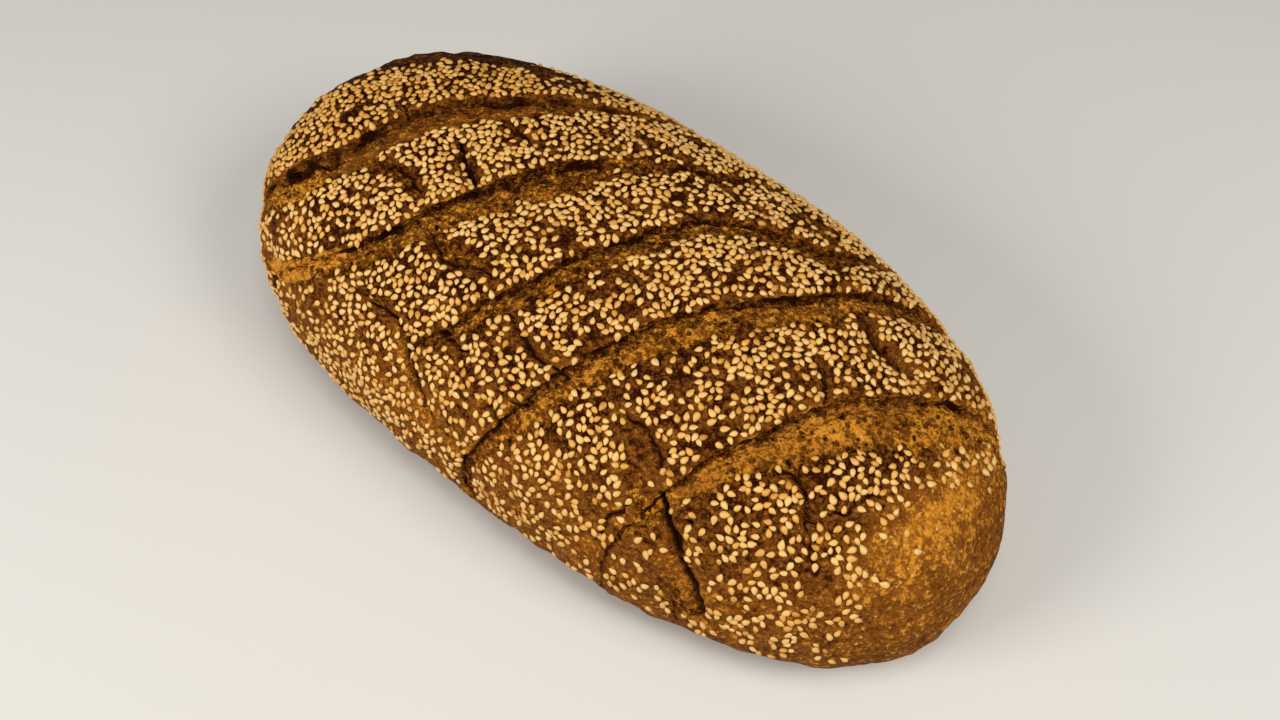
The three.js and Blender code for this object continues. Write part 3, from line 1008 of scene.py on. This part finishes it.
    # Fine relief, finer than the mesh holds: lumps and grain, and the lips of the pinholes.
    height = math_of("MULTIPLY_ADD", lumps, 0.45, math_of("MULTIPLY", grit, 0.22))
    height = math_of("MULTIPLY_ADD", mottle, 0.9, height)
    height = math_of("SUBTRACT", height, math_of("MULTIPLY", pinholes, math_of("MULTIPLY", inside, 0.5)))
    bump = add_node(tree, "ShaderNodeBump", {"Height": height, "Strength": 1.0, "Distance": 1.7 * MM})
    rough = math_of("ADD", inside, math_of("MULTIPLY", mottle, 0.4))
    feed(tree, shader.inputs["Base Color"], skin)
    feed(tree, shader.inputs["Roughness"], between(rough, 0.0, 1.4, 0.72, 0.95))
    feed(tree, shader.inputs["Normal"], bump)
    shader.inputs["IOR"].default_value = 1.35
    shader.inputs["Specular IOR Level"].default_value = 0.08
    return material


def seed_material(colours):
    """Hulled white sesame, toasted on the loaf: cream to gold, browner at its tip, with an oily sheen."""
    material, tree, shader = new_material("toasted_sesame")
    toast_and_shade = add_node(tree, "ShaderNodeAttribute", attribute_name="toast_and_shade").outputs["Fac"]
    place = add_node(tree, "ShaderNodeTexCoord").outputs["Object"]
    flush = add_node(tree, "ShaderNodeTexNoise", {"Vector": place, "Scale": 1 / (1.1 * MM), "Detail": 1.0})
    toast_and_shade = add_node(
        tree, "ShaderNodeMath", {"Value": flush, "Value_001": 0.5, "Value_002": toast_and_shade},
        operation="MULTIPLY_ADD",
    )
    # The toast value also darkens the first strip's seeds, as painted shade.
    shade = colours.seed_cream
    for low, high, deeper in ((0.1, 0.75, colours.seed_gold), (0.7, 1.35, colours.seed_toast)):
        share = add_node(tree, "ShaderNodeMapRange", {"Value": toast_and_shade, "From Min": low, "From Max": high})
        shade = add_node(
            tree, "ShaderNodeMix", {"Factor_Float": share, "A_Color": shade, "B_Color": deeper},
            data_type="RGBA",
        )
    feed(tree, shader.inputs["Base Color"], shade)
    shader.inputs["Roughness"].default_value = 0.45
    shader.inputs["IOR"].default_value = 1.47
    return material


def floor_material(colours):
    """Matt white wall paint, rolled: even, with no sheen."""
    material, _, shader = new_material("matt_white_paint")
    shader.inputs["Base Color"].default_value = colours.floor
    shader.inputs["Roughness"].default_value = 0.85
    shader.inputs["Specular IOR Level"].default_value = 0.2
    return material


# The camera: its lens and sensor in millimetres, angles in degrees, and lengths in metres.
CAMERA = {
    "lens": 42.19, "sensor": 36, "near": 0.01,
    "azimuth": 41.86, "elevation": 54.0, "distance": 0.5105, "look_at": (-0.005, 0.0105, 0.0),
}

# Soft boxes: azimuth, elevation and distance from the loaf, side length, power in watts, and colour.
SOFT_BOXES = [
    ("softbox_over", 50, 72, 1.1, 0.4, 3.5, "fffcf6"),
    ("softbox_front", 342, 32, 0.95, 0.4, 6.0, "fffaf2"),
    ("softbox_side", 94, 47, 0.95, 0.4, 4.7, "fff9f0"),
]
SKY, SKY_STRENGTH = "f3f4f6", 0.2
FLOOR_HALF = 3.0  # half the floor's side


def around(azimuth, elevation, distance, centre):
    """A place round a point, and the rotation that faces the point from there. Azimuth 0 is on the -Y side,
    and 90 on the +X side."""
    a, e = math.radians(azimuth), math.radians(elevation)
    way = Vector((math.sin(a) * math.cos(e), -math.cos(a) * math.cos(e), math.sin(e)))
    return centre + way * distance, way.to_track_quat("Z", "Y").to_euler()


class LOAF_OT_stage(bpy.types.Operator):
    """Make the floor, the lights and the camera"""

    bl_idname = "loaf.stage"
    bl_label = "Stage"

    def execute(self, context):
        scene = context.scene
        colours = scene.loaf.colours
        mesh = bpy.data.meshes.new("floor")
        corners = [(x * FLOOR_HALF, y * FLOOR_HALF, 0) for x, y in ((-1, -1), (1, -1), (1, 1), (-1, 1))]
        mesh.from_pydata(corners, [], [(0, 1, 2, 3)])
        mesh.materials.append(floor_material(colours))
        floor = add_object("floor", mesh)

        world = bpy.data.worlds.new("studio")
        world.use_nodes = True
        sky = world.node_tree.nodes["Background"]
        sky.inputs["Color"].default_value = linear(SKY)
        sky.inputs["Strength"].default_value = SKY_STRENGTH
        scene.world = world

        middle = Vector((0, 0, BELLY_HEIGHT * MM))
        for name, azimuth, elevation, distance, side, power, tint in SOFT_BOXES:
            light = bpy.data.lights.new(name, "AREA")
            light.size, light.energy, light.color = side, power, linear(tint)[:3]
            lamp = add_object(name, light)
            lamp.location, lamp.rotation_euler = around(azimuth, elevation, distance, middle)

        data = bpy.data.cameras.new("camera")
        data.lens, data.sensor_width, data.clip_start = (CAMERA[key] for key in ("lens", "sensor", "near"))
        camera = add_object("camera", data)
        camera.location, camera.rotation_euler = around(
            *(CAMERA[key] for key in ("azimuth", "elevation", "distance")), Vector(CAMERA["look_at"])
        )
        scene.camera = camera
        scene.view_settings.view_transform = "Standard"
        return {"FINISHED"}


class LOAF_OT_crust(bpy.types.Operator):
    """Bake the loaf: its crust, slashes, crumb and cracks as one skin"""

    bl_idname = "loaf.crust"
    bl_label = "Crust"

    def execute(self, context):
        settings = context.scene.loaf
        skin = LoafSkin(settings.shape)
        material = crust_material(settings.colours)
        crust = mesh_piece("bread_crust", skin.points.reshape(-1, 3), skin.faces(), material, skin.masks)
        crust.data.set_sharp_from_angle(angle=math.radians(SHARP_ANGLE))
        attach(crust, "root")
        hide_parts("loaf")
        return {"FINISHED"}


class LOAF_OT_seeds(bpy.types.Operator):
    """Scatter toasted sesame over the crust, one piece for each strip between the slashes"""

    bl_idname = "loaf.seeds"
    bl_label = "Seeds"

    def execute(self, context):
        settings = context.scene.loaf
        coat = settings.coat
        if bpy.data.objects.get("bread_crust") is None:
            raise RuntimeError("The seeds need the crust: run Crust first")
        points, faces, toast_and_shade, strip = lay_seeds(LoafSkin(settings.shape), coat)
        material = seed_material(settings.colours)
        for k in range(len(SLASHES) + 1):
            mine = np.flatnonzero(strip == k)
            own = [(np.array(f) + n * points.shape[1]).tolist() for n in range(len(mine)) for f in faces]
            shade = {"toast_and_shade": toast_and_shade[mine].ravel()}
            piece = mesh_piece(f"seeds_strip_{k + 1}", points[mine].reshape(-1, 3), own, material, shade)
            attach(piece, "root")
        return {"FINISHED"}


class LOAF_PT_panel(bpy.types.Panel):
    """Lists what makes the loaf, and its sizes and colours"""

    bl_label = "Sesame Hearth Loaf"
    bl_idname = "LOAF_PT_panel"
    bl_space_type = "VIEW_3D"
    bl_region_type = "UI"
    bl_category = "Loaf"

    def draw(self, context):
        layout = self.layout
        for operator in (LOAF_OT_stage, LOAF_OT_crust, LOAF_OT_seeds):
            layout.operator(operator.bl_idname)
        for group in (context.scene.loaf.shape, context.scene.loaf.coat, context.scene.loaf.colours):
            box = layout.box()
            for key in group.__annotations__:
                box.prop(group, key)


CLASSES = (
    LoafShape, SeedCoat, LoafColours, LoafSettings, LOAF_OT_stage, LOAF_OT_crust, LOAF_OT_seeds, LOAF_PT_panel
)


def register():
    for one in CLASSES:
        bpy.utils.register_class(one)
    bpy.types.Scene.loaf = PointerProperty(type=LoafSettings)


def unregister():
    del bpy.types.Scene.loaf
    for one in reversed(CLASSES):
        bpy.utils.unregister_class(one)


def main():
    register()
    bpy.ops.loaf.stage()
    bpy.ops.loaf.crust()
    bpy.ops.loaf.seeds()


if __name__ == "__main__":
    main()
